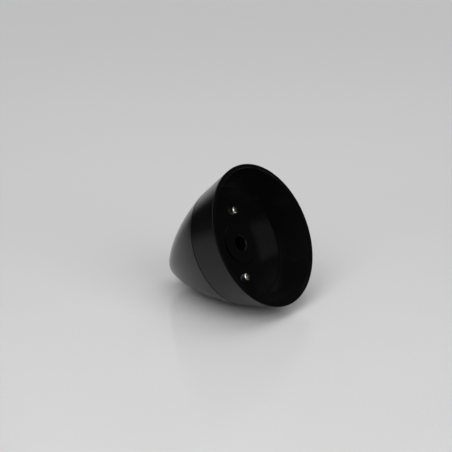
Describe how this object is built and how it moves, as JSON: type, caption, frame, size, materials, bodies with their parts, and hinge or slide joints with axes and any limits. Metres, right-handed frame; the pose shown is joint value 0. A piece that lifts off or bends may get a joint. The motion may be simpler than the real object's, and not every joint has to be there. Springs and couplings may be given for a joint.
{
  "type": "propeller spinner",
  "caption": "Tapered propeller spinner: open rear cup with recessed floor, hub pad and shaft bore, closed by a rounded ogive nose cone held by screws.",
  "frame": {"origin": "centre of the plane of the mouth rim, on which the spinner stands", "axes": "+Z along the spin axis from the mouth towards the nose, X through the two cone screws"},
  "size_m": [0.0758, 0.0758, 0.0671],
  "materials": {
    "cup_plastic": "polished black",
    "cone_plastic": "satin black",
    "screw_steel": "bright plated"
  },
  "bodies": {
    "root": {"rear_shell": "cup_plastic", "nose_cone": "cone_plastic", "cone_screws": "screw_steel"}
  },
  "joints": []
}
